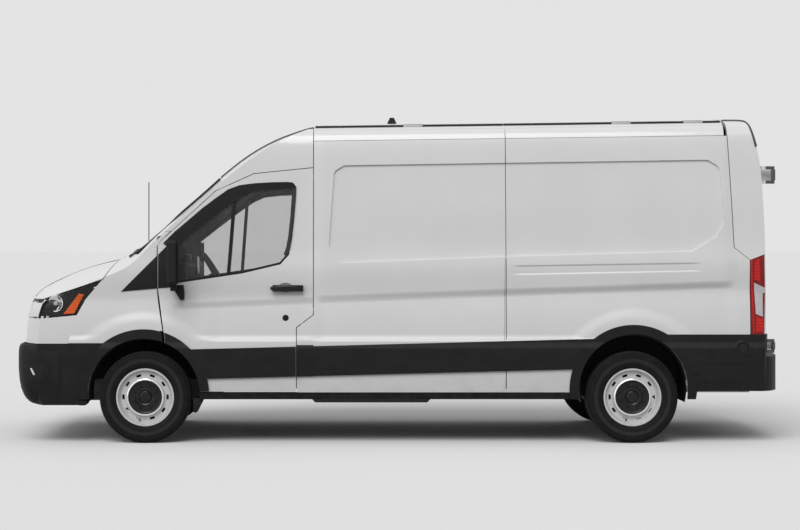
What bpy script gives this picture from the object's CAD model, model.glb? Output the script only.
import math

import bmesh
import bpy
from mathutils import Matrix, Vector
from mathutils.bvhtree import BVHTree


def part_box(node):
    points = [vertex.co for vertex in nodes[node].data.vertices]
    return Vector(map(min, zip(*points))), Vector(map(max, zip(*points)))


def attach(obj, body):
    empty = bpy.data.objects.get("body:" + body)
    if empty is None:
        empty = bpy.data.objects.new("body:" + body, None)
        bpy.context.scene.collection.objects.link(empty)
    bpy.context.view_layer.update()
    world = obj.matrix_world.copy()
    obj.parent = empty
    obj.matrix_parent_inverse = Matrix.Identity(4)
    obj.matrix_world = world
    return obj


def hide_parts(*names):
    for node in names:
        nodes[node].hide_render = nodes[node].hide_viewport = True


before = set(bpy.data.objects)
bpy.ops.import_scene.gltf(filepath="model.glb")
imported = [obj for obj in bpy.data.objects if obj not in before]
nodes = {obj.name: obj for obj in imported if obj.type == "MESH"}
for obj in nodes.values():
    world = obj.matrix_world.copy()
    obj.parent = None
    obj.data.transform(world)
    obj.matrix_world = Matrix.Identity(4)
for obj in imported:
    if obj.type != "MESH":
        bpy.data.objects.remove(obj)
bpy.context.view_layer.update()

# Shared sizes, in metres

wheel_height = 0.352
front_axle_x = -1.9675
rear_axle_x = 1.7825
wheel_middle_y = 0.868
front_arch = (-1.9745, 0.376)
rear_arch = (1.7855, 0.422)
weld_distance = 0.00002

# The photograph's view: sizes in pixels, camera place and scale at the van's near side in metres

photo_width = 800
photo_height = 530
focal_px = 1913.0
centre_px = 345.0
centre_py = 245.0
camera_place = (-0.429, -15.68, 1.524)
metres_per_pixel = 0.00768
sensor_mm = 36.0


# Shader maths

class Value:
    """A socket of a material, so that sums of sockets can be written as plain expressions."""

    def __init__(self, finish, socket):
        self.finish = finish
        self.socket = socket

    def math(self, operation, *others):
        inputs = dict(enumerate((self, *others)))
        return self.finish.add("ShaderNodeMath", {"operation": operation}, inputs)

    def __add__(self, other):
        return self.math("ADD", other)

    def __radd__(self, other):
        return self.math("ADD", other)

    def __sub__(self, other):
        return self.math("SUBTRACT", other)

    def __rsub__(self, other):
        return self.finish.add("ShaderNodeMath", {"operation": "SUBTRACT"}, {0: other, 1: self})

    def __mul__(self, other):
        return self.math("MULTIPLY", other)

    def __rmul__(self, other):
        return self.math("MULTIPLY", other)

    def __pow__(self, other):
        return self.math("POWER", other)

    def clamp(self):
        return self.finish.add("ShaderNodeClamp", {}, {"Value": self})

    def between(self, low, high):
        """0 below low, 1 above high, and a smooth step from one to the other."""
        return self.finish.add("ShaderNodeMapRange", {"interpolation_type": "SMOOTHSTEP"},
                               {"Value": self, "From Min": low, "From Max": high})

    def sine(self):
        return self.math("SINE")

    def absolute(self):
        return self.math("ABSOLUTE")


class Finish:
    """A material under construction, with its principled shader."""

    def __init__(self, name, **shader):
        self.material = bpy.data.materials.new(name)
        self.material.use_nodes = True
        self.tree = self.material.node_tree
        self.shader = self.tree.nodes["Principled BSDF"]
        coordinates = self.tree.nodes.new("ShaderNodeTexCoord")
        self.place = Value(self, coordinates.outputs["Object"])
        self.facing = Value(self, coordinates.outputs["Normal"])
        self.set(**shader)

    def set(self, **values):
        for name, value in values.items():
            self.feed(self.shader.inputs[name.replace("_", " ")], value)

    def feed(self, socket, value):
        if isinstance(value, Value):
            self.tree.links.new(value.socket, socket)
        elif isinstance(value, (tuple, list)) and len(value) == 3 and len(socket.default_value) == 4:
            socket.default_value = (*value, 1.0)
        else:
            socket.default_value = value

    def add(self, kind, settings, inputs, output=0):
        """Adds one node: its settings first, then the values or links of its sockets."""
        node = self.tree.nodes.new(kind)
        for name, value in settings.items():
            setattr(node, name, value)
        for name, value in inputs.items():
            self.feed(node.inputs[name], value)
        return Value(self, node.outputs[output])

    def mix(self, factor, first, second):
        """A colour between two colours."""
        return self.add("ShaderNodeMix", {"data_type": "RGBA"}, {0: factor, 6: first, 7: second}, 2)

    def split(self):
        """The three coordinates of a point of the piece."""
        node = self.tree.nodes.new("ShaderNodeSeparateXYZ")
        self.tree.links.new(self.place.socket, node.inputs[0])
        return [Value(self, node.outputs[i]) for i in range(3)]

    def noise(self, scale, detail=2.0, stretch=None):
        place = self.place
        if stretch:
            place = self.add("ShaderNodeMapping", {}, {"Vector": self.place, "Scale": stretch})
        return self.add("ShaderNodeTexNoise", {}, {"Vector": place, "Scale": scale, "Detail": detail})

    def bump(self, height, strength, distance):
        self.set(Normal=self.add("ShaderNodeBump", {}, {"Strength": strength, "Distance": distance,
                                                        "Height": height}))
        return self


# Finishes

def blend_height(z, line, width):
    """A smooth step from 0 below a line to 1 above it."""
    return (z - line).between(-width, width)


def paint_features(x, z, features):
    """The height of creases and dents pressed into a panel, in metres."""
    height = 0.0
    fade = 0.12
    arch_foot, arch_shoulder = 0.78, 0.84
    for x0, x1, z0, z1, width, depth in features["creases"]:
        slope = (z1 - z0) / (x1 - x0)
        line = x * slope + (z0 - x0 * slope)
        span = x.between(x0, x0 + fade) * (1 - x.between(x1 - fade, x1))
        height = blend_height(z, line, width) * span * depth + height
    for cx, cz, rx, rz, depth in features["dents"]:
        across = (x - cx) * (1 / rx)
        up = (z - cz) * (1 / rz)
        height = (across * across + up * up).between(0.1, 1.0) * depth + height
    for cx, cz, radius, width, depth in features["rings"]:
        across = x - cx
        up = z - cz
        reach = (across * across + up * up) ** 0.5
        rise = reach.between(radius - width, radius + width) * z.between(arch_foot, arch_shoulder)
        height = rise * -depth + height
    return height


def body_paint(name, creases=(), dents=(), rings=(), ribs=0.0, lined=False, hinged=False):
    """White gloss paint with a faint ripple and road dust low down; lined panels are dark inside."""
    f = Finish(name, Coat_Weight=0.5, Coat_Roughness=0.05, IOR=1.45)
    x, y, z = f.split()
    cloud = f.noise(2.2, 4.0)
    dust = (1 - z.between(0.35, 0.85)) * f.noise(9.0, 5.0).between(0.35, 0.75)
    tone = f.mix(cloud.between(0.3, 0.7), (0.705, 0.71, 0.705), (0.73, 0.735, 0.73))
    tone = f.mix(dust * 0.2, tone, (0.42, 0.40, 0.37))
    if lined:
        facing = f.add("ShaderNodeSeparateXYZ", {}, {0: f.facing}, 1)
        inside = (facing * y * -1.0).between(0.10, 0.25)
        tone = f.mix(inside, tone, (0.030, 0.031, 0.033))
    if hinged:
        strap = x.between(2.815, 2.820) * y.absolute().between(0.868, 0.872)
        tone = f.mix(strap, tone, (0.06, 0.06, 0.065))
    f.set(Base_Color=tone)
    f.set(Roughness=0.22 + dust * 0.3 + cloud * 0.05)
    height = f.noise(170.0, 1.0) * 0.00002
    if creases or dents or rings:
        height = paint_features(x, z, {"creases": creases, "dents": dents, "rings": rings}) + height
    if ribs:
        height = (y * (math.pi * 2 / ribs)).sine().between(-0.3, 0.3) * 0.006 + height
    return f.bump(height, 1.0, 1.0).material


def black_plastic(name, edge=None):
    """Grained black moulding, greyed a little by dust; its upper edge may lean back above a height."""
    f = Finish(name, IOR=1.46, Specular_IOR_Level=0.22)
    x, y, z = f.split()
    cloud = f.noise(6.0, 3.0)
    dust = f.noise(22.0, 5.0).between(0.45, 0.8)
    tone = f.mix(cloud.between(0.3, 0.7), (0.007, 0.007, 0.0075), (0.011, 0.011, 0.0115))
    f.set(Base_Color=f.mix(dust * 0.3, tone, (0.022, 0.021, 0.020)))
    f.set(Roughness=0.5 + cloud * 0.14)
    height = f.noise(900.0, 2.0) * 0.00015
    if edge:
        height = z.between(edge - 0.03, edge + 0.03) * -0.022 + height
    return f.bump(height, 1.0, 1.0).material


def drifting(name, noise, span, tones, rough, grain=None, **shader):
    """A finish whose tone and roughness drift with one noise of a scale and detail.

    rough is the lowest roughness and its rise; grain is a fine bump's scale, detail, strength and depth.
    """
    f = Finish(name, **shader)
    cloud = f.noise(*noise)
    f.set(Base_Color=f.mix(cloud.between(*span), *tones))
    f.set(Roughness=cloud * rough[1] + rough[0])
    if grain:
        scale, detail, strength, depth = grain
        f.bump(f.noise(scale, detail), strength, depth)
    return f.material


def bright_metal(name, tone, roughness):
    return drifting(name, (30.0, 4.0), (0.3, 0.7), (tuple(c * 0.92 for c in tone), tone), (roughness, 0.08),
                    (500.0, 2.0, 0.05, 0.0004), Metallic=1.0)


def wheel_steel():
    """Silver wheel paint, dusty in its hollows."""
    f = Finish("wheel_steel", Metallic=0.3, Coat_Weight=0.3, Coat_Roughness=0.1)
    dust = f.noise(18.0, 5.0)
    f.set(Base_Color=f.mix(dust.between(0.4, 0.8) * 0.3, (0.60, 0.605, 0.61), (0.40, 0.39, 0.37)))
    f.set(Roughness=0.36 + dust * 0.2)
    return f.bump(f.noise(320.0, 2.0), 0.08, 0.0005).material


def tyre_rubber(name, axle_x):
    """Rubber with fine ribs round the side wall, and sipes across the tread."""
    f = Finish(name, IOR=1.45, Specular_IOR_Level=0.18)
    x, y, z = f.split()
    across = x - axle_x
    up = z - wheel_height
    radius = (across * across + up * up) ** 0.5
    turn = f.add("ShaderNodeMath", {"operation": "ARCTAN2"}, {0: up, 1: across})
    tread = radius.between(0.342, 0.346)
    dust = f.noise(16.0, 5.0)
    tone = f.mix(dust.between(0.35, 0.8), (0.006, 0.006, 0.006), (0.014, 0.0135, 0.013))
    ring = radius.between(0.262, 0.275) * (1 - radius.between(0.288, 0.300))
    tone = f.mix(ring * 0.5, tone, (0.040, 0.040, 0.039))
    f.set(Base_Color=f.mix(tread * 0.6, tone, (0.045, 0.044, 0.042)))
    f.set(Roughness=0.6 + dust * 0.2)
    wall = (radius * 1500.0).sine() * (1 - tread) * radius.between(0.300, 0.303) * 0.0004
    sipes = (turn * 190.0).sine().between(0.1, 0.5) * tread * 0.002
    return f.bump(wall + sipes + f.noise(420.0, 3.0) * 0.0001, 1.0, 1.0).material


def glass(name, tint, alpha, roughness=0.02):
    """Clear glass, seen through straight, with a faint film of dust."""
    f = Finish(name, IOR=1.5, Coat_Weight=0.5, Coat_Roughness=0.02)
    film = f.noise(3.0, 4.0)
    f.set(Base_Color=f.mix(film.between(0.3, 0.7), tint, tuple(c * 1.15 for c in tint)))
    f.set(Roughness=roughness + film * 0.02)
    f.set(Alpha=alpha + film * 0.04)
    return f.material


def screen_glass():
    """Tinted windscreen glass with a black printed border."""
    low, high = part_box("windscreen")
    points = [v.co for v in nodes["windscreen"].data.vertices]
    wide = max(abs(p.y) for p in points if p.x < low.x + 0.08)
    narrow = max(abs(p.y) for p in points if p.x > high.x - 0.08)
    f = Finish("screen_glass", IOR=1.5, Coat_Weight=0.6, Coat_Roughness=0.02)
    x, y, z = f.split()
    slope = (narrow - wide) / (high.x - low.x)
    edge = (x - low.x) * slope + wide
    border = ((y.absolute() - edge) + 0.05).between(0.0, 0.006)
    foot = 1 - x.between(low.x + 0.05, low.x + 0.06)
    head = x.between(high.x - 0.07, high.x - 0.06)
    border = (border + foot + head).clamp()
    film = f.noise(3.0, 4.0)
    tint = f.mix(film.between(0.3, 0.7), (0.07, 0.08, 0.08), (0.09, 0.10, 0.10))
    f.set(Base_Color=f.mix(border, tint, (0.006, 0.006, 0.006)))
    f.set(Roughness=0.04 + film * 0.02 + border * 0.15)
    f.set(Alpha=(border + 0.42 + film * 0.04).clamp())
    return f.material


def seat_cloth():
    """Dark woven cloth."""
    f = Finish("seat_cloth", Sheen_Weight=0.3, Sheen_Roughness=0.5)
    x, y, z = f.split()
    weave = (y * 2600.0).sine() * (z * 2600.0 + x * 2600.0).sine()
    cloud = f.noise(24.0, 3.0)
    band = y.absolute().math("SUBTRACT", 0.42).absolute().between(0.118, 0.122)
    centre = f.mix(cloud.between(0.3, 0.7), (0.050, 0.052, 0.058), (0.075, 0.078, 0.085))
    wing = f.mix(cloud.between(0.3, 0.7), (0.028, 0.028, 0.03), (0.042, 0.042, 0.045))
    f.set(Base_Color=f.mix(band, centre, wing))
    f.set(Roughness=0.85 + cloud * 0.1)
    return f.bump(weave, 0.3, 0.0008).material


def boarding():
    """Varnished brown plywood in long boards."""
    f = Finish("boarding", Coat_Weight=0.2, Coat_Roughness=0.3)
    x, y, z = f.split()
    grain = f.noise(6.0, 6.0, (1.0, 14.0, 1.0))
    joint = (x * (math.pi / 0.61)).sine().absolute().between(0.0, 0.02)
    tone = f.mix(grain.between(0.3, 0.7), (0.16, 0.10, 0.06), (0.27, 0.18, 0.11))
    f.set(Base_Color=f.mix(joint, (0.04, 0.03, 0.02), tone))
    f.set(Roughness=0.5 + grain * 0.2)
    return f.bump(grain * 0.2 + joint, 0.4, 0.001).material


def lens(name, deep, pale, pitch=420.0):
    """Coloured lamp plastic with fine optic ribs."""
    f = Finish(name, IOR=1.45, Specular_IOR_Level=0.3, Coat_Weight=0.25, Coat_Roughness=0.03)
    x, y, z = f.split()
    ribs = (z * pitch).sine()
    f.set(Base_Color=f.mix(ribs.between(-0.8, 0.8) * 0.5 + f.noise(5.0, 2.0) * 0.3, deep, pale))
    f.set(Roughness=0.1 + f.noise(9.0, 2.0) * 0.06)
    return f.bump(ribs, 0.15, 0.0008).material


def gridded_lens():
    """White lamp plastic with a square grid of small prisms."""
    f = Finish("white_lens", IOR=1.5, Coat_Weight=0.5, Coat_Roughness=0.03)
    x, y, z = f.split()
    grid = (z * 380.0).sine().absolute() * ((x + y) * 380.0).sine().absolute()
    tone = f.mix(grid.between(0.05, 0.4), (0.10, 0.10, 0.13), (0.72, 0.70, 0.72))
    f.set(Base_Color=f.mix(f.noise(6.0, 2.0) * 0.3, tone, (0.62, 0.55, 0.55)))
    f.set(Roughness=0.12 + f.noise(9.0, 2.0) * 0.06)
    return f.bump(grid, 0.3, 0.001).material


side_creases = [
    (-0.70, 2.60, 1.104, 1.223, 0.036, 0.018),
    (-0.70, 2.60, 0.796, 0.806, 0.016, -0.009),
    (0.82, 2.34, 1.297, 1.326, 0.008, -0.006),
    (0.82, 2.34, 1.361, 1.385, 0.008, 0.006)]
door_creases = [
    (-1.50, -0.60, 0.796, 0.796, 0.016, -0.009),
    (-1.80, -0.55, 1.052, 1.104, 0.032, 0.015)]
front_ring = [(*front_arch, 0.600, 0.05, 0.014)]
rear_ring = [(*rear_arch, 0.580, 0.05, 0.014)]
handle_hollow = [(-0.885, 1.196, 0.062, 0.040, 0.014)]
paint = body_paint("body_paint")
side_paint = body_paint("side_paint", side_creases, rings=rear_ring)
door_paint = body_paint("door_paint", door_creases, handle_hollow, front_ring, lined=True)
fender_paint = body_paint("fender_paint", rings=front_ring)
cab_paint = body_paint("cab_paint", lined=True)
rear_paint = body_paint("rear_paint", hinged=True)
roof_paint = body_paint("roof_paint", ribs=0.24)
black = black_plastic("black_plastic")
cladding_black = black_plastic("cladding_black", 0.755)
cover_grey = bright_metal("cover_grey", (0.42, 0.42, 0.42), 0.5)
dark_gloss = drifting("gloss_black", (5.0, 3.0), (0.3, 0.7), ((0.004, 0.004, 0.0045), (0.007, 0.007, 0.0075)),
                      (0.18, 0.1), IOR=1.45, Specular_IOR_Level=0.3, Coat_Weight=0.12, Coat_Roughness=0.04)
chassis = drifting("chassis_paint", (14.0, 5.0), (0.35, 0.7), ((0.004, 0.004, 0.0045), (0.016, 0.015, 0.014)),
                   (0.55, 0.3), (120.0, 3.0, 0.3, 0.001), Specular_IOR_Level=0.2)
cast = drifting("cast_metal", (10.0, 5.0), (0.3, 0.7), ((0.08, 0.08, 0.085), (0.16, 0.155, 0.15)),
                (0.55, 0.2), (240.0, 3.0, 0.4, 0.001), Metallic=0.7)
steel = drifting("bare_steel", (12.0, 5.0), (0.35, 0.75), ((0.36, 0.35, 0.34), (0.22, 0.16, 0.12)),
                 (0.35, 0.3), (300.0, 2.0, 0.2, 0.0006), Metallic=1.0)
polished = bright_metal("polished_steel", (0.82, 0.82, 0.82), 0.16)
silvered = bright_metal("silvered_glass", (0.78, 0.79, 0.80), 0.02)
mirror_silver = bright_metal("mirror_silver", (0.30, 0.31, 0.32), 0.02)
wheel_paint = wheel_steel()
rubber = {"front": tyre_rubber("tyre_rubber_front", front_axle_x),
          "rear": tyre_rubber("tyre_rubber_rear", rear_axle_x)}
window = glass("window_glass", (0.12, 0.125, 0.125), 0.13)
dark_window = screen_glass()
trim = drifting("trim_plastic", (8.0, 3.0), (0.3, 0.7), ((0.035, 0.035, 0.038), (0.048, 0.048, 0.052)),
                (0.55, 0.12), (700.0, 2.0, 0.3, 0.0006))
cloth = seat_cloth()
boards = boarding()
red_lens = lens("red_lens", (0.16, 0.0, 0.0), (0.30, 0.002, 0.002))
bright_red = lens("bright_red_lens", (0.40, 0.002, 0.001), (0.80, 0.012, 0.006), 260.0)
amber_lens = lens("amber_lens", (0.75, 0.075, 0.0), (1.0, 0.19, 0.008), 300.0)
white_lens = gridded_lens()
clear_lens = glass("lamp_cover", (0.05, 0.05, 0.055), 0.10)

finishes = {
    "floor_pan": chassis, "wheel_housings": chassis, "load_floor": boards, "chassis_frame": chassis,
    "body_side_left": side_paint, "body_side_right": side_paint, "sliding_door": side_paint,
    "roof_panel": roof_paint, "cab_frame": cab_paint, "fenders": fender_paint, "nose_panel": paint,
    "grille": black, "front_bumper": black, "headlamps": clear_lens, "rear_frame": rear_paint,
    "tail_lamps": red_lens, "rear_bumper": cladding_black, "windscreen": dark_window,
    "side_cladding": cladding_black, "wipers": black, "aerials": black,
    "engine_block": cast, "front_suspension": chassis, "rear_axle": chassis,
    "fuel_tank": trim, "exhaust": steel, "dashboard": trim, "steering_wheel": trim, "seats": cloth,
    "bulkhead": paint, "hood": paint}
for side in ("left", "right"):
    finishes["door_" + side + "_panel"] = door_paint
    finishes["door_" + side + "_glass"] = window
    finishes["door_" + side + "_trim"] = cladding_black
    finishes["door_" + side + "_mirror"] = black
    finishes["rear_door_" + side] = rear_paint
    finishes["knuckle_" + side] = cast
    for end in ("front", "rear"):
        finishes["tyre_" + end + "_" + side] = rubber[end]
        finishes["rim_" + end + "_" + side] = wheel_paint


def soft_shading():
    """Joins a node's loose triangles and shades them smooth across shallow angles."""
    group = bpy.data.node_groups.new("soft_shading", "GeometryNodeTree")
    group.interface.new_socket(name="Geometry", in_out="INPUT", socket_type="NodeSocketGeometry")
    group.interface.new_socket(name="Geometry", in_out="OUTPUT", socket_type="NodeSocketGeometry")
    start = group.nodes.new("NodeGroupInput")
    end = group.nodes.new("NodeGroupOutput")
    weld = group.nodes.new("GeometryNodeMergeByDistance")
    weld.inputs["Distance"].default_value = weld_distance
    angle = group.nodes.new("GeometryNodeInputMeshEdgeAngle")
    shallow = group.nodes.new("ShaderNodeMath")
    shallow.operation = "LESS_THAN"
    shallow.inputs[1].default_value = math.radians(24.0)
    edges = group.nodes.new("GeometryNodeSetShadeSmooth")
    edges.domain = "EDGE"
    faces = group.nodes.new("GeometryNodeSetShadeSmooth")
    faces.domain = "FACE"
    link = group.links.new
    link(start.outputs[0], weld.inputs["Geometry"])
    link(weld.outputs["Geometry"], faces.inputs["Geometry"])
    link(faces.outputs["Geometry"], edges.inputs["Geometry"])
    link(angle.outputs["Unsigned Angle"], shallow.inputs[0])
    link(shallow.outputs[0], edges.inputs["Shade Smooth"])
    link(edges.outputs["Geometry"], end.inputs[0])
    return group


shading = soft_shading()


def dress(node, material):
    """Gives a node its finish, and smooth shading across its shallow angles."""
    mesh = nodes[node].data
    mesh.materials.clear()
    mesh.materials.append(material)
    nodes[node].modifiers.new("soft_shading", "NODES").node_group = shading


for node, material in finishes.items():
    dress(node, material)


# Shaping of new pieces

def merged(*meshes):
    """One bmesh of several."""
    first = meshes[0]
    for other in meshes[1:]:
        between = bpy.data.meshes.new("joining")
        other.to_mesh(between)
        other.free()
        first.from_mesh(between)
        bpy.data.meshes.remove(between)
    return first


def make_piece(name, bm, finish, body, sharp=32.0):
    """Turns a bmesh into a piece that rides on a body, smooth but for its sharp edges."""
    bmesh.ops.remove_doubles(bm, verts=bm.verts[:], dist=weld_distance)
    limit = math.radians(sharp)
    for face in bm.faces:
        face.smooth = True
    for edge in bm.edges:
        edge.smooth = len(edge.link_faces) == 2 and edge.calc_face_angle(0.0) < limit
    mesh = bpy.data.meshes.new(name)
    bm.to_mesh(mesh)
    bm.free()
    mesh.materials.append(finish)
    piece = bpy.data.objects.new(name, mesh)
    bpy.context.scene.collection.objects.link(piece)
    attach(piece, body)
    return piece


def mirrored(bm):
    """The same shape on the other side of the van."""
    other = bm.copy()
    bmesh.ops.scale(other, vec=(1, -1, 1), verts=other.verts[:])
    bmesh.ops.reverse_faces(other, faces=other.faces[:])
    return other


def make_pair(name, bm, finish, body="root"):
    """A piece on the left and its mirror image on the right; SIDE in a body's name stands for both."""
    right = mirrored(bm)
    make_piece(name + "_left", bm, finish, body.replace("SIDE", "left"))
    make_piece(name + "_right", right, finish, body.replace("SIDE", "right"))


def spun(outline, centre, axis, steps=48):
    """A shape turned from points (radius, distance along the axis); the ends lie on the axis or meet."""
    bm = bmesh.new()
    axis = Vector(axis).normalized()
    across = axis.orthogonal().normalized()
    points = [bm.verts.new(Vector(centre) + across * r + axis * d) for r, d in outline]
    edges = [bm.edges.new(pair) for pair in zip(points, points[1:])]
    bmesh.ops.spin(bm, geom=points + edges, cent=centre, axis=axis, dvec=(0, 0, 0), angle=math.pi * 2,
                   steps=steps, use_merge=True)
    bmesh.ops.remove_doubles(bm, verts=bm.verts[:], dist=0.00001)
    bmesh.ops.recalc_face_normals(bm, faces=bm.faces[:])
    return bm


def block(low, high, bevel, segments=2):
    """A box between two corners with rounded edges."""
    bm = bmesh.new()
    bmesh.ops.create_cube(bm, size=1.0)
    low = Vector(low)
    high = Vector(high)
    bmesh.ops.scale(bm, vec=high - low, verts=bm.verts[:])
    bmesh.ops.translate(bm, vec=(low + high) / 2, verts=bm.verts[:])
    bmesh.ops.bevel(bm, geom=bm.edges[:], offset=bevel, segments=segments, affect="EDGES", profile=0.5,
                    material=-1)
    return bm


def turned(bm, angle, axis, centre):
    """Turns a shape about an axis through a point."""
    bmesh.ops.rotate(bm, cent=centre, matrix=Matrix.Rotation(angle, 3, axis), verts=bm.verts[:])
    return bm


def backed(bm):
    """Closes an open sheet with a copy of itself, and returns the copy's points, still to be moved."""
    grown = bmesh.ops.extrude_face_region(bm, geom=bm.faces[:])["geom"]
    return [v for v in grown if isinstance(v, bmesh.types.BMVert)]


def thickened(bm, shift):
    """Gives an open sheet a thickness along a vector."""
    bmesh.ops.translate(bm, vec=shift, verts=backed(bm))
    bmesh.ops.recalc_face_normals(bm, faces=bm.faces[:])
    return bm


def slab(outline, y, thick, bevel):
    """A plate of a side view's outline that reaches inwards from y, with rounded edges."""
    bm = bmesh.new()
    bm.faces.new([bm.verts.new((x, y, z)) for x, z in outline])
    thickened(bm, (0, thick, 0))
    bmesh.ops.bevel(bm, geom=bm.edges[:], offset=bevel, segments=2, affect="EDGES", profile=0.5, material=-1)
    return bm


def surface_of(*names):
    """A search tree over the surfaces of nodes."""
    points = []
    faces = []
    for name in names:
        mesh = nodes[name].data
        start = len(points)
        points += [v.co.copy() for v in mesh.vertices]
        faces += [[start + i for i in p.vertices] for p in mesh.polygons]
    return BVHTree.FromPolygons(points, faces)


looks = {
    "left": (Vector((0, 1, 0)), lambda a, b: Vector((a, -3, b))),
    "front": (Vector((1, 0, 0)), lambda a, b: Vector((-6, a, b))),
    "rear": (Vector((-1, 0, 0)), lambda a, b: Vector((6, a, b))),
    "top": (Vector((0, 0, -1)), lambda a, b: Vector((a, b, 5)))}


def touch(on, look, a, b):
    """The point of a surface that is seen at two coordinates from one side."""
    direction, place = looks[look]
    start = place(a, b)
    hit = on.ray_cast(start, direction)[0]
    return hit or on.find_nearest(start + direction * 2.0)[0]


def laid(outline, look, on, lift, thick, step=0.06, bevel=0.0):
    """A plate of an outline that follows a surface, its face standing proud by lift."""
    direction = looks[look][0]
    bm = bmesh.new()
    bm.faces.new([bm.verts.new((a, b, 0)) for a, b in outline])
    for axis in (0, 1):
        low = min(p[axis] for p in outline)
        high = max(p[axis] for p in outline)
        count = max(1, math.ceil((high - low) / step))
        normal = Vector((1 - axis, axis, 0))
        for i in range(1, count):
            place = normal * (low + (high - low) * i / count)
            bmesh.ops.bisect_plane(bm, geom=bm.verts[:] + bm.edges[:] + bm.faces[:], plane_co=place,
                                   plane_no=normal)
    for v in bm.verts:
        v.co = touch(on, look, v.co.x, v.co.y) - direction * lift
    bm.normal_update()
    if sum(f.normal.dot(direction) for f in bm.faces) > 0:
        bmesh.ops.reverse_faces(bm, faces=bm.faces[:])
    thickened(bm, direction * thick)
    if bevel:
        rim = [e for e in bm.edges if e.calc_face_angle(0.0) > 1.0]
        bmesh.ops.bevel(bm, geom=rim, offset=bevel, segments=2, affect="EDGES", profile=0.5, material=-1,
                        clamp_overlap=True)
    return bm


def smooth_curve(points, radius=0.0):
    """The mesh of a smooth line through the reach of a few points, or of a round strip along it."""
    curve = bpy.data.curves.new("strip", "CURVE")
    curve.dimensions = "3D"
    line = curve.splines.new("NURBS")
    line.points.add(len(points) - 1)
    for spot, place in zip(line.points, points):
        spot.co = (place[0], place[1], place[2], 1.0)
    line.order_u = 3
    line.use_endpoint_u = True
    line.resolution_u = 4
    curve.bevel_depth = radius
    curve.bevel_resolution = 2
    curve.use_fill_caps = True
    holder = bpy.data.objects.new("strip", curve)
    mesh = bpy.data.meshes.new_from_object(holder)
    bm = bmesh.new()
    bm.from_mesh(mesh)
    bpy.data.objects.remove(holder)
    bpy.data.curves.remove(curve)
    bpy.data.meshes.remove(mesh)
    return bm


def seal(points, radius):
    """A round rubber strip along a smooth line of points."""
    bm = smooth_curve(points, radius)
    bmesh.ops.recalc_face_normals(bm, faces=bm.faces[:])
    return bm


def drawn_to(surface, line, shift=(0, 0, 0)):
    """A line of places moved onto a surface, and then by a vector."""
    return [surface.find_nearest(Vector(place))[0] + Vector(shift) for place in line]


# Wheels

def tyre_shape(centre, side):
    """A tyre with bead, ribbed wall, cut shoulder blocks and grooves round the tread."""
    half = [(0.2225, 0.095), (0.231, 0.1005), (0.239, 0.103), (0.242, 0.106), (0.252, 0.1085),
            (0.268, 0.1118), (0.288, 0.1138), (0.303, 0.1138), (0.306, 0.1124), (0.309, 0.1124),
            (0.312, 0.1134), (0.324, 0.1110), (0.335, 0.1058), (0.344, 0.0975), (0.3495, 0.0880),
            (0.3515, 0.0760), (0.352, 0.0600), (0.352, 0.0540), (0.3445, 0.0530), (0.3445, 0.0460),
            (0.352, 0.0450), (0.352, 0.0120), (0.3445, 0.0110), (0.3445, 0.0040)]
    outline = half + [(r, -w) for r, w in reversed(half)]
    outline.append(outline[0])
    steps = 168
    bm = spun(outline, centre, (0, side, 0), steps)
    middle = Vector(centre)
    blocks = []
    for face in bm.faces:
        place = face.calc_center_median() - middle
        radius = math.hypot(place.x, place.z)
        turn = math.atan2(place.z, place.x) / (math.pi * 2) * steps
        if 0.336 < radius < 0.3519 and 0.070 < abs(place.y) and math.floor(turn + 0.001) % 3 == 0:
            blocks.append(face)
    bmesh.ops.inset_region(bm, faces=blocks, thickness=0.0008, depth=-0.005, use_even_offset=True)
    return bm


cap_inset = 0.060
nut_count = 8
nut_circle = 0.096
valve_turn = math.radians(256.0)
valve_circle = 0.186
valve_lean = 0.45
cap_outline = [(0, 0), (0.124, 0), (0.126, 0.012), (0.121, 0.016), (0.112, 0.013), (0.100, 0.010), (0.082, 0.012),
               (0.074, 0.020), (0.060, 0.023), (0.052, 0.020), (0.045, 0.016), (0.041, 0.018), (0.040, 0.029),
               (0.035, 0.033), (0.012, 0.034), (0, 0.034)]
nut_outline = [(0, 0.008), (0.0085, 0.008), (0.0085, 0.014), (0.006, 0.017), (0, 0.018)]
ring_outline = [(0.1265, 0), (0.1275, 0.022), (0.131, 0.0285), (0.137, 0.0295), (0.142, 0.0265),
                (0.1445, 0.018), (0.1445, 0), (0.1265, 0)]
valve_outline = [(0, 0), (0.0055, 0), (0.0055, 0.016), (0.0038, 0.018), (0.0038, 0.030), (0.0028, 0.033),
                 (0, 0.033)]

for end, axle_x in (("front", front_axle_x), ("rear", rear_axle_x)):
    for side, s in (("left", -1), ("right", 1)):
        wheel = "wheel_" + end + "_" + side
        outwards = (0, s, 0)
        centre = (axle_x, s * wheel_middle_y, wheel_height)
        tyre = make_piece("tyre_" + side + "_" + end, tyre_shape(centre, s), rubber[end], wheel,
                          28.0)
        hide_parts("tyre_" + end + "_" + side)
        face = (axle_x, s * (wheel_middle_y + cap_inset), wheel_height)
        cap = spun(cap_outline, face, outwards, 64)
        for i in range(nut_count):
            turn = math.pi * 2 * (i + 0.5) / nut_count
            place = Vector(face) + Vector((math.cos(turn), 0, math.sin(turn))) * nut_circle
            cap = merged(cap, spun(nut_outline, place, outwards, 12))
        make_piece("hub_cap_" + end + "_" + side, cap, dark_gloss, wheel)
        make_piece("hub_ring_" + end + "_" + side, spun(ring_outline, face, outwards, 72), polished, wheel)
        radial = Vector((math.cos(valve_turn), 0, math.sin(valve_turn)))
        foot = Vector(centre) + radial * valve_circle + Vector((0, s * 0.052, 0))
        valve = spun(valve_outline, foot, Vector(outwards) - radial * valve_lean, 12)
        make_piece("valve_" + end + "_" + side, valve, black, wheel)


# Wheel arches

liner_thickness = 0.004


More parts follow.
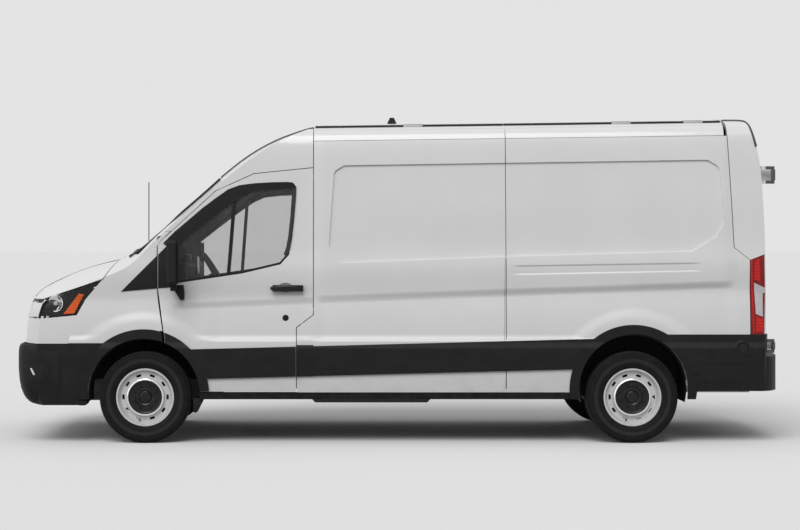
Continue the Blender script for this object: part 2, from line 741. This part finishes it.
def liner(centre, radius, start, sweep, y0, y1):
    """A curved black sheet round the inside of a wheel arch."""
    bm = bmesh.new()
    begin = Matrix.Rotation(math.radians(start), 3, "Y") @ Vector((radius, 0, 0))
    pair = [bm.verts.new(Vector((centre[0], y, centre[1])) + begin) for y in (y0, y1)]
    edge = bm.edges.new(pair)
    bmesh.ops.spin(bm, geom=pair + [edge], cent=(centre[0], 0, centre[1]), axis=(0, 1, 0), dvec=(0, 0, 0),
                   angle=math.radians(sweep), steps=36, use_merge=False)
    bm.normal_update()
    for v in backed(bm):
        v.co += Vector((v.co.x - centre[0], 0, v.co.z - centre[1])).normalized() * liner_thickness
    bmesh.ops.recalc_face_normals(bm, faces=bm.faces[:])
    return bm


for name, centre, radius, start, sweep, y0, y1 in (
        ("front", front_arch, 0.421, -78.0, -109.0, -0.965, -0.700),
        ("door", front_arch, 0.421, 7.0, -85.0, -0.860, -0.700),
        ("rear", rear_arch, 0.409, 15.0, -210.0, -0.965, -0.560)):
    make_pair("arch_liner_" + name, liner(centre, radius, start, sweep, y0, y1), black)
for name, x0, x1 in (("ahead", 1.365, 1.520), ("behind", 2.050, 2.205)):
    plate = block((x0, -0.600, 0.335), (x1, -0.580, 0.640), 0.004)
    make_pair("well_plate_" + name, plate, black)
lip_outline = [(-2.520, 0.345), (-2.520, 0.300), (-2.470, 0.289), (-2.425, 0.290), (-2.412, 0.306),
               (-2.414, 0.330)]
make_pair("bumper_lip", slab(lip_outline, -0.972, 0.150, 0.006), black)


# Front lamps, seen from the side and from the front

lamp_skin = surface_of("headlamps")


def dish(place, axis, radius, depth):
    """A silvered reflector bowl, open towards the axis."""
    wall = 0.003
    return spun([(0, -depth), (radius * 0.5, -depth * 0.78), (radius * 0.85, -depth * 0.35), (radius, 0),
                 (radius + wall, 0), (radius * 0.85 + wall, -depth * 0.4 - wall),
                 (radius * 0.5, -depth * 0.8 - wall), (0, -depth - wall)], place, axis, 40)


housing_outline = [(-2.780, 0.975), (-2.745, 1.105), (-2.330, 1.238), (-2.430, 1.105), (-2.498, 0.992)]
make_pair("lamp_housing", laid(housing_outline, "left", lamp_skin, -0.032, 0.003), dark_gloss)
make_pair("lamp_amber", laid([(-2.592, 0.993), (-2.508, 0.999), (-2.436, 1.146), (-2.474, 1.152)],
                             "left", lamp_skin, -0.004, 0.014, 0.05), amber_lens)
bowl_place = touch(lamp_skin, "left", -2.668, 1.074)
bowl_axis = Vector((-0.35, -1.0, 0.05)).normalized()
bowl_place += Vector((0.012, 0.020, 0))
bowl = dish(bowl_place, bowl_axis, 0.060, 0.020)
make_pair("lamp_bowl_side", bowl, silvered)
bulb = spun([(0, -0.016), (0.016, -0.014), (0.019, -0.006), (0.016, 0.002), (0.008, 0.006), (0, 0.007)],
            bowl_place, bowl_axis, 20)
make_pair("lamp_bulb_side", bulb, white_lens)
front_place = touch(lamp_skin, "front", -0.700, 1.060)
front_bowl = dish(front_place + Vector((0.016, 0, 0)), (-1, 0, 0), 0.052, 0.020)
make_pair("lamp_bowl_front", front_bowl, silvered)
make_pair("lamp_housing_front", laid([(-0.83, 0.975), (-0.60, 0.975), (-0.60, 1.115), (-0.83, 1.135)],
                                     "front", lamp_skin, -0.038, 0.003), dark_gloss)

cheek_outline = [(-2.900, 0.968), (-2.786, 0.972), (-2.764, 1.045), (-2.736, 1.118), (-2.746, 1.134),
                 (-2.800, 1.122), (-2.900, 1.092)]
make_pair("lamp_cheek", laid(cheek_outline, "left", lamp_skin, 0.003, 0.010, 0.03), paint)


def bumper_corner():
    """The full, rounded corner of the front bumper: its line in plan, raised, and then drawn in by height."""
    plan = smooth_curve([(-2.620, -1.0105, 0), (-2.700, -1.0110, 0), (-2.800, -1.0100, 0), (-2.895, -0.985, 0),
                         (-2.945, -0.910, 0), (-2.966, -0.820, 0), (-2.973, -0.730, 0), (-2.966, -0.640, 0),
                         (-2.957, -0.560, 0)])
    inside = Vector((-2.3, -0.5, 0))
    heights_and_depths = [(0.300, 0.105), (0.315, 0.080), (0.340, 0.056), (0.370, 0.038), (0.420, 0.019),
                          (0.480, 0.008), (0.560, 0.001), (0.640, 0.0), (0.700, 0.001), (0.738, 0.006),
                          (0.756, 0.016), (0.764, 0.032)]
    places = [v.co.copy() for v in plan.verts]
    inwards = []
    for i, place in enumerate(places):
        along = places[min(i + 1, len(places) - 1)] - places[max(i - 1, 0)]
        across = Vector((-along.y, along.x, 0)).normalized()
        inwards.append(across if across.dot(inside - place) > 0 else -across)
    level = plan.verts[:]
    row = plan.edges[:]
    drawn_in = []
    for number, (z, depth) in enumerate(heights_and_depths):
        if number:
            grown = bmesh.ops.extrude_edge_only(plan, edges=row)["geom"]
            level = [v for v in grown if isinstance(v, bmesh.types.BMVert)]
            row = [e for e in grown if isinstance(e, bmesh.types.BMEdge) and all(v in level for v in e.verts)]
        for v in level:
            v.co.z = z
            drawn_in.append((v, depth))
    for v, depth in drawn_in:
        nearest = min(range(len(places)), key=lambda i: (places[i].xy - v.co.xy).length)
        v.co += inwards[nearest] * depth
    plan.normal_update()
    return thickened(plan, (0.006, 0.004, 0))


corner = bumper_corner()
corner_skin = BVHTree.FromBMesh(corner)
make_pair("bumper_corner", corner, black)
rim_outline = [(-2.905, 0.622), (-2.700, 0.622), (-2.684, 0.600), (-2.722, 0.478), (-2.850, 0.462),
               (-2.888, 0.492)]
make_pair("fog_rim", laid(rim_outline, "left", corner_skin, 0.004, 0.008, 0.03), black)
panel_outline = [(-2.880, 0.604), (-2.726, 0.604), (-2.752, 0.496), (-2.836, 0.484), (-2.868, 0.510)]
make_pair("fog_panel", laid(panel_outline, "left", corner_skin, 0.0055, 0.008, 0.03), dark_gloss)
make_pair("fog_light", laid([(-2.846, 0.578), (-2.832, 0.580), (-2.806, 0.530), (-2.820, 0.526)], "left",
                            corner_skin, 0.0065, 0.006, 0.04), silvered)


# Tail lamps

tail_skin = surface_of("tail_lamps")
for name, outline, lift, step, finish, slot in (
        ("white", [(2.712, 1.235), (2.795, 1.196), (2.808, 0.962), (2.722, 0.995)], 0.0015, 0.04, white_lens,
         "clear_plastic"),
        ("edge", [(2.686, 1.405), (2.697, 1.425), (2.712, 0.850), (2.700, 0.848)], 0.0012, 0.06, bright_red,
         "red_plastic"),
        ("low", [(2.724, 0.978), (2.806, 0.946), (2.806, 0.856), (2.722, 0.856)], 0.0015, 0.04, bright_red,
         "red_plastic"),
        ("high", [(2.716, 1.395), (2.752, 1.425), (2.762, 1.235), (2.712, 1.262)], 0.0015, 0.04, bright_red,
         "red_plastic")):
    make_pair("tail_" + name, laid(outline, "left", tail_skin, lift, 0.006, step), finish)


# Sides

door_skin = surface_of("door_left_panel")
lock_place = touch(door_skin, "left", -0.885, 0.965)
lock = spun([(0, -0.004), (0.0245, -0.004), (0.0245, 0.002), (0.021, 0.004), (0.019, 0.002), (0.011, 0.002),
             (0.010, 0.004), (0.003, 0.0045), (0, 0.0045)], lock_place, (0, -1, 0), 28)
make_pair("door_lock", lock, black, "door_SIDE")

frame_skin = surface_of("door_left_panel", "cab_frame")


def corner_cover(outline):
    """A thin plate of skin over the swing space at a front door's upper front corner."""
    bm = bmesh.new()
    points = [bm.verts.new((x, 0, z)) for x, z in outline]
    bm.faces.new(points)
    for v in points:
        v.co.y = frame_skin.find_nearest(Vector((v.co.x, -0.975, v.co.z)))[0].y - 0.0015
    bm.normal_update()
    return thickened(bm, (0, -0.0025, 0))


cover_outline = [(-1.880, 1.515), (-1.872, 1.520), (-1.855, 1.550), (-1.832, 1.576), (-1.782, 1.620),
                 (-1.782, 1.642), (-1.880, 1.560)]
make_pair("pillar_cover", corner_cover(cover_outline), paint)
lower_skin = surface_of("body_side_left")
cladding_outline = [(-0.796, 0.757), (-0.672, 0.757), (-0.672, 0.516), (-0.796, 0.514)]
make_pair("pillar_cladding", laid(cladding_outline, "left", lower_skin, 0.013, 0.018, 0.05), cladding_black)
make_pair("pillar_edge", block((-0.8045, -1.0225, 0.516), (-0.790, -1.0095, 0.757), 0.001), cladding_black)
seam_skin = surface_of("body_side_left", "roof_panel", "side_cladding")
seam_x = 0.809
for name, z0, z1, half in (("high", 0.80, 2.44, 0.0022), ("low", 0.42, 0.755, 0.0030)):
    x0, x1 = seam_x - half, seam_x + half
    seam = laid([(x0, z0), (x1, z0), (x1, z1), (x0, z1)], "left", seam_skin, 0.0008, 0.004, 0.025)
    make_pair("middle_seam_" + name, seam, black)
window_skin = surface_of("door_left_panel", "door_left_glass", "door_left_trim")
surround_px = [(163, 243), (175, 231), (187, 221), (202, 208), (216, 197.5), (228, 189), (239, 185), (254, 183),
               (272, 182), (288, 181.7), (293.5, 183), (296.2, 187), (296, 196), (294.5, 215), (292, 238),
               (290, 249.5), (286, 256.5)]
window_px = [(283.5, 254.5), (285.8, 248.5), (288, 237), (290.3, 215), (291.6, 196), (291.5, 190.5), (288, 188.8),
             (272, 189.5), (254, 191.5), (242, 197), (230, 205), (217, 214.5), (203, 225), (189, 236),
             (178, 244.5), (170, 249)]
outline = [(camera_place[0] + (px - centre_px) * metres_per_pixel,
            camera_place[2] - (py - centre_py) * metres_per_pixel) for px, py in surround_px + window_px]
make_pair("window_surround", laid(outline, "left", window_skin, 0.007, 0.010, 0.04), dark_gloss,
          "door_SIDE")
make_pair("window_post", laid([(-1.768, 1.226), (-1.736, 1.230), (-1.736, 1.585), (-1.768, 1.560)], "left",
                              door_skin, 0.002, 0.006, 0.08), black, "door_SIDE")
grip_place = touch(surface_of("door_left_trim"), "left", -0.885, 1.192)
grip = spun([(0, -0.118), (0.010, -0.116), (0.015, -0.100), (0.020, -0.050), (0.026, -0.020), (0.027, 0.020),
             (0.020, 0.050), (0.015, 0.100), (0.010, 0.116), (0, 0.118)], (0, 0, 0), (1, 0, 0), 24)
bmesh.ops.scale(grip, vec=(1, 0.35, 1), verts=grip.verts[:])
bmesh.ops.translate(grip, vec=grip_place + Vector((0, 0.004, 0)), verts=grip.verts[:])
make_pair("handle_grip", grip, dark_gloss, "door_SIDE")

cap_skin = surface_of("rear_bumper")
cap_place = touch(cap_skin, "left", 2.619, 0.736)
make_pair("corner_cap", spun([(0, -0.006), (0.058, -0.006), (0.058, 0.003), (0.054, 0.006), (0.047, 0.0065),
                              (0.044, 0.002), (0.037, 0.002), (0.034, 0.006), (0.006, 0.007), (0, 0.007)],
                             cap_place, (0, -1, 0), 40), dark_gloss)
for name, z in (("high", 0.612), ("low", 0.474)):
    rib = laid([(2.300, z - 0.004), (2.620, z - 0.004), (2.620, z + 0.004), (2.300, z + 0.004)], "left",
               cap_skin, 0.004, 0.010, 0.08)
    make_pair("corner_rib_" + name, rib, black)

flap_outline = [(-1.600, 0.345), (-1.600, 0.236), (-1.572, 0.232), (-1.515, 0.345)]
make_pair("splash_flap", slab(flap_outline, -0.945, 0.16, 0.004), black)


# Mirrors

mirror_skin = surface_of("door_left_mirror")
for name, z0, z1 in (("main", 1.340, 1.530), ("lower", 1.245, 1.322)):
    low, high = z0 - 0.006, z1 + 0.006
    rim = laid([(-1.224, low), (-1.086, low), (-1.086, high), (-1.224, high)], "rear", mirror_skin, 0.0020, 0.006,
               0.07)
    make_pair("mirror_rim_" + name, rim, black, "door_SIDE")
    pane = laid([(-1.216, z0), (-1.092, z0), (-1.092, z1), (-1.216, z1)], "rear", mirror_skin, 0.0023, 0.002,
                0.07)
    make_pair("mirror_glass_" + name, pane, mirror_silver, "door_SIDE")
mirror_lip = block((-1.690, -1.239, 1.240), (-1.674, -1.228, 1.545), 0.004)
make_pair("mirror_lip", mirror_lip, black, "door_SIDE")


# Windscreen edges and roof

screen_skin = surface_of("windscreen", "cab_frame")
screen_line = drawn_to(screen_skin, [
    (-2.112, -0.740, 1.437), (-2.021, -0.770, 1.501), (-1.924, -0.800, 1.583), (-1.814, -0.820, 1.670),
    (-1.721, -0.830, 1.748), (-1.629, -0.830, 1.826), (-1.536, -0.828, 1.905), (-1.444, -0.800, 1.990),
    (-1.400, -0.780, 2.030)], (0, -0.006, 0))
make_pair("screen_seal", seal(screen_line, 0.015), dark_gloss)
front_line = drawn_to(screen_skin, [
    (-1.396, -0.700, 2.052), (-1.319, -0.690, 2.119), (-1.240, -0.690, 2.180), (-1.160, -0.700, 2.233),
    (-1.081, -0.710, 2.279), (-1.001, -0.730, 2.319), (-0.914, -0.750, 2.356), (-0.810, -0.800, 2.390),
    (-0.701, -0.805, 2.420), (-0.640, -0.790, 2.432)])
make_pair("roof_front_seal", seal(front_line, 0.010), trim)
rear_line = drawn_to(surface_of("rear_frame"), [
    (2.500, -0.690, 2.499), (2.600, -0.690, 2.499), (2.667, -0.724, 2.493), (2.687, -0.776, 2.482),
    (2.703, -0.850, 2.447), (2.725, -0.894, 2.368), (2.744, -0.909, 2.285)], (0, -0.004, 0))
make_pair("roof_rear_seal", seal(rear_line, 0.009), trim)
hood_line = drawn_to(surface_of("hood"), [
    (-2.852, -0.678, 1.121), (-2.841, -0.652, 1.142), (-2.814, -0.619, 1.171), (-2.778, -0.550, 1.203),
    (-2.717, -0.532, 1.234), (-2.628, -0.497, 1.280), (-2.503, -0.475, 1.330), (-2.378, -0.458, 1.370),
    (-2.281, -0.476, 1.394), (-2.221, -0.513, 1.407)])
make_pair("hood_edge", seal(hood_line, 0.0035), trim, "hood")

roof_skin = surface_of("roof_panel")
for name, a0, a1 in (("front", -0.660, 0.800), ("rear", 0.804, 2.490)):
    strip = laid([(a0, -0.790), (a1, -0.790), (a1, -0.750), (a0, -0.750)], "top", roof_skin, 0.010, 0.020, 0.12,
                 0.002)
    make_pair("roof_strip_" + name, strip, black)
for name, x in (("front", 0.10), ("middle", 1.72), ("rear", 2.28)):
    x0, x1 = x - 0.075, x + 0.075
    cover = laid([(x0, -0.796), (x1, -0.796), (x1, -0.744), (x0, -0.744)], "top", roof_skin, 0.014, 0.020, 0.05,
                 0.003)
    make_pair("roof_cover_" + name, cover, cover_grey)


# Rear plate and rear handle

door_back = surface_of("rear_door_left", "rear_door_right")
rear_x = touch(door_back, "rear", -0.42, 0.93).x
plate = block((rear_x - 0.004, -0.5725, 0.854), (rear_x + 0.004, -0.2675, 1.006), 0.0015)
make_piece("plate_rear", plate, paint, "rear_door_left")
plate_frame = merged(block((rear_x - 0.004, -0.590, 1.006), (rear_x + 0.014, -0.250, 1.030), 0.004),
                     block((rear_x - 0.004, -0.590, 0.838), (rear_x + 0.010, -0.250, 0.854), 0.003))
make_piece("plate_frame", plate_frame, black, "rear_door_left")
handle_x = touch(door_back, "rear", 0.075, 1.20).x
grip = merged(block((handle_x - 0.004, 0.045, 1.08), (handle_x + 0.012, 0.105, 1.34), 0.005, 3),
              block((handle_x + 0.006, 0.058, 1.12), (handle_x + 0.036, 0.092, 1.30), 0.008, 3))
make_piece("rear_handle", grip, black, "rear_door_right")


# Cab

def soft_block(low, high, crown, cuts=5, rounding=0.035):
    """A crowned, closed pad whose sides pull in between its corners."""
    bm = bmesh.new()
    bmesh.ops.create_cube(bm, size=2.0)
    bmesh.ops.subdivide_edges(bm, edges=bm.edges[:], cuts=cuts, use_grid_fill=True)
    low = Vector(low)
    high = Vector(high)
    half = (high - low) / 2
    middle = (high + low) / 2
    for v in bm.verts:
        place = v.co.copy()
        bulge = [1.0, 1.0, 1.0]
        for axis in range(3):
            others = [place[i] for i in range(3) if i != axis]
            bulge[axis] = 1.0 - crown[axis] * (1.0 - (1.0 - others[0] ** 2) * (1.0 - others[1] ** 2))
        edge = sorted(abs(c) for c in place)
        pull = 1.0 - rounding * max(0.0, edge[1] - 0.6) / 0.4
        v.co = middle + Vector([place[i] * half[i] * bulge[i] * pull for i in range(3)])
    bmesh.ops.recalc_face_normals(bm, faces=bm.faces[:])
    return bm


def make_pad(name, bm, body="root"):
    """A padded piece under the seat cloth."""
    pad = make_piece(name, bm, cloth, body, 80.0)
    soft = pad.modifiers.new("rounding", "SUBSURF")
    soft.levels = 2
    soft.render_levels = 2
    return pad


lean = math.radians(14.0)
seat_y = 0.42
stalk_outline = [(0, 1.44), (0.006, 1.44), (0.006, 1.56), (0, 1.56)]
for side, s in (("left", -1), ("right", 1)):
    y = s * seat_y
    make_pad("seat_cushion_" + side, merged(
        soft_block((-1.388, y - 0.150, 0.815), (-0.900, y + 0.150, 0.936), (0.03, 0.02, 0.10)),
        soft_block((-1.384, y - 0.238, 0.815), (-0.900, y - 0.142, 0.950), (0.03, 0.06, 0.08)),
        soft_block((-1.384, y + 0.142, 0.815), (-0.900, y + 0.238, 0.950), (0.03, 0.06, 0.08))))
    foot = Vector((-0.945, y, 0.875))
    back = merged(
        soft_block((-1.000, y - 0.150, 0.880), (-0.895, y + 0.150, 1.500), (0.10, 0.02, 0.03)),
        soft_block((-1.012, y - 0.236, 0.900), (-0.893, y - 0.142, 1.480), (0.08, 0.06, 0.03)),
        soft_block((-1.012, y + 0.142, 0.900), (-0.893, y + 0.236, 1.480), (0.08, 0.06, 0.03)))
    make_pad("seat_back_" + side, turned(back, lean, "Y", foot))
    rest = soft_block((-0.995, y - 0.125, 1.525), (-0.900, y + 0.125, 1.700), (0.08, 0.05, 0.04))
    make_pad("head_rest_" + side, turned(rest, lean, "Y", foot))
    stalks = merged(*[spun(stalk_outline, (-0.945, y + dy, 0), (0, 0, 1), 12) for dy in (-0.06, 0.06)])
    make_piece("head_rest_stalks_" + side, turned(stalks, lean, "Y", foot), polished, "root")
    base = merged(block((-1.300, y - 0.190, 0.652), (-0.960, y + 0.190, 0.760), 0.012, 3),
                  block((-1.340, y - 0.205, 0.755), (-0.930, y + 0.205, 0.822), 0.010, 3))
    frame_piece = make_piece("seat_base_" + side, base, trim, "root")
    if side == "left":
        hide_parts("seats")
binnacle = block((-1.800, -0.600, 1.380), (-1.660, -0.240, 1.450), 0.020, 4)
dash_top = touch(surface_of("dashboard"), "top", -1.72, -0.42).z
bmesh.ops.translate(binnacle, vec=(0, 0, dash_top - 1.388), verts=binnacle.verts[:])
make_piece("instrument_hood", binnacle, trim, "root")
screen = block((-1.700, -0.130, 1.290), (-1.632, 0.130, 1.440), 0.010, 3)
bmesh.ops.translate(screen, vec=(0, 0, dash_top - 1.400), verts=screen.verts[:])
make_piece("centre_screen", screen, dark_gloss, "root")


# Camera, floor and light

camera_data = bpy.data.cameras.new("camera")
camera_data.sensor_width = sensor_mm
camera_data.lens = focal_px / photo_width * sensor_mm
camera_data.shift_x = (photo_width / 2 - centre_px) / photo_width
camera_data.shift_y = -(photo_height / 2 - centre_py) / photo_width
camera = bpy.data.objects.new("camera", camera_data)
camera.location = camera_place
camera.rotation_euler = (math.pi / 2, 0, 0)
bpy.context.scene.collection.objects.link(camera)
bpy.context.scene.camera = camera


def seen_directly(tree):
    """1 for what the camera sees, straight, in a gloss or through glass, and 0 for light that spreads."""
    path = tree.nodes.new("ShaderNodeLightPath")
    total = None
    for name in ("Is Camera Ray", "Is Glossy Ray", "Is Transmission Ray"):
        if total is None:
            total = path.outputs[name]
            continue
        either = tree.nodes.new("ShaderNodeMath")
        either.operation = "MAXIMUM"
        tree.links.new(total, either.inputs[0])
        tree.links.new(path.outputs[name], either.inputs[1])
        total = either.outputs[0]
    return total


def stage_material(name, seen, spread):
    """A dull surface that takes shadows, with one tone for the eye and another for its light."""
    f = Finish(name, Roughness=1.0, Specular_IOR_Level=0.0)
    mask = Value(f, seen_directly(f.tree))
    f.set(Base_Color=f.mix(mask, (spread, spread, spread), (seen, seen, seen)))
    return f.material


def add_floor(seen, spread):
    size = 400.0
    bm = bmesh.new()
    bmesh.ops.create_grid(bm, x_segments=1, y_segments=1, size=size)
    mesh = bpy.data.meshes.new("floor")
    bm.to_mesh(mesh)
    bm.free()
    mesh.materials.append(stage_material("floor_tone", seen, spread))
    floor = bpy.data.objects.new("floor", mesh)
    bpy.context.scene.collection.objects.link(floor)


def add_sun(name, aim, spread, strength):
    """A broad soft light from one direction, even over the whole floor."""
    data = bpy.data.lights.new(name, "SUN")
    data.angle = math.radians(spread)
    data.energy = strength
    lamp = bpy.data.objects.new(name, data)
    lamp.rotation_euler = Vector(aim).to_track_quat("-Z", "Y").to_euler()
    bpy.context.scene.collection.objects.link(lamp)


def set_world(seen, level):
    """An even sky, with one tone for the eye and another for its light."""
    world = bpy.data.worlds.new("studio")
    bpy.context.scene.world = world
    world.use_nodes = True
    tree = world.node_tree
    sky = tree.nodes["Background"]
    sky.inputs["Color"].default_value = (level, level, level, 1.0)
    shown = tree.nodes.new("ShaderNodeBackground")
    shown.inputs["Color"].default_value = (seen, seen, seen, 1.0)
    choice = tree.nodes.new("ShaderNodeMixShader")
    tree.links.new(seen_directly(tree), choice.inputs[0])
    tree.links.new(sky.outputs[0], choice.inputs[1])
    tree.links.new(shown.outputs[0], choice.inputs[2])
    tree.links.new(choice.outputs[0], tree.nodes["World Output"].inputs["Surface"])


floor_seen, floor_spread = 0.815, 0.16
sky_seen, sky_light = 0.775, 0.48
add_floor(floor_seen, floor_spread)
set_world(sky_seen, sky_light)
add_sun("key", (0.20, 0.85, -0.95), 38.0, 1.62)
add_sun("fill", (0.85, 0.50, -0.35), 50.0, 0.55)
bpy.context.scene.view_settings.view_transform = "Standard"
